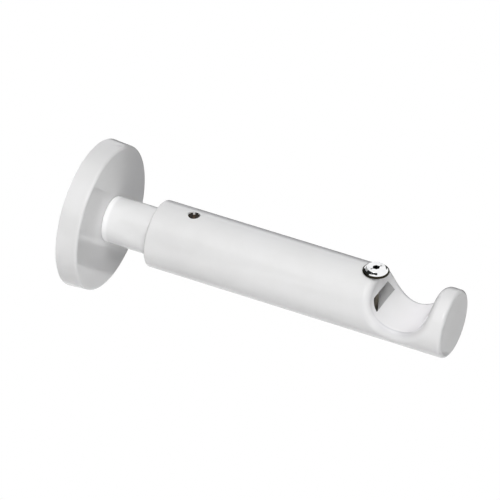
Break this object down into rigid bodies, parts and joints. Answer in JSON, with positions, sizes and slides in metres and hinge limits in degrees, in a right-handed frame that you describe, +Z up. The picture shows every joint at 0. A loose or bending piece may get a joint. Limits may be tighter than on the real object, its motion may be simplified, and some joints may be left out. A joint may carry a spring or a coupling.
{
  "type": "curtain pole bracket",
  "caption": "White telescopic wall bracket: a round rose, a rod and a sliding arm whose half-round seat holds a curtain pole under a chromed screw.",
  "frame": {"origin": "middle of the wall face, midway between the wall screw slots", "axes": "+Y into the wall and along the arm, so the arm runs out towards -Y; X along the pole; +Z up, the way the pole lifts out"},
  "size_m": [0.0508, 0.1314, 0.0508],
  "materials": {
    "white_paint": "gloss white paint",
    "zinc_steel": "bright zinc plate",
    "dark_brass": "darkened brass",
    "chrome": "polished chrome"
  },
  "bodies": {
    "wall_mount": {"mounting_plate": "zinc_steel", "wall_rose": "white_paint", "lock_washer": "zinc_steel", "rod_screw": "zinc_steel"},
    "rose_grub_screw": {"rose_grub_screw": "zinc_steel"},
    "inner_rod": {"inner_rod": "white_paint"},
    "arm": {"arm": "white_paint"},
    "length_set_screw": {"length_set_screw": "dark_brass"},
    "pole_screw": {"pole_screw": "chrome"}
  },
  "joints": [
    {"name": "arm_turn", "type": "hinge", "parent": "wall_mount", "child": "inner_rod", "pos_m": [0, 0, 0], "axis": [0, -1, 0], "continuous": true},
    {"name": "arm_extend", "type": "slide", "parent": "inner_rod", "child": "arm", "axis": [0, -1, 0], "range_m": [-0.017, 0.035]},
    {"name": "set_screw_travel", "type": "slide", "parent": "arm", "child": "length_set_screw", "axis": [0, 0, 1], "range_m": [0, 0.002]},
    {"name": "pole_screw_travel", "type": "slide", "parent": "arm", "child": "pole_screw", "axis": [0, 0, 1], "range_m": [0, 0.008]},
    {"name": "rose_grub_travel", "type": "slide", "parent": "wall_mount", "child": "rose_grub_screw", "axis": [0, 0, -1], "range_m": [0, 0.0015]}
  ]
}
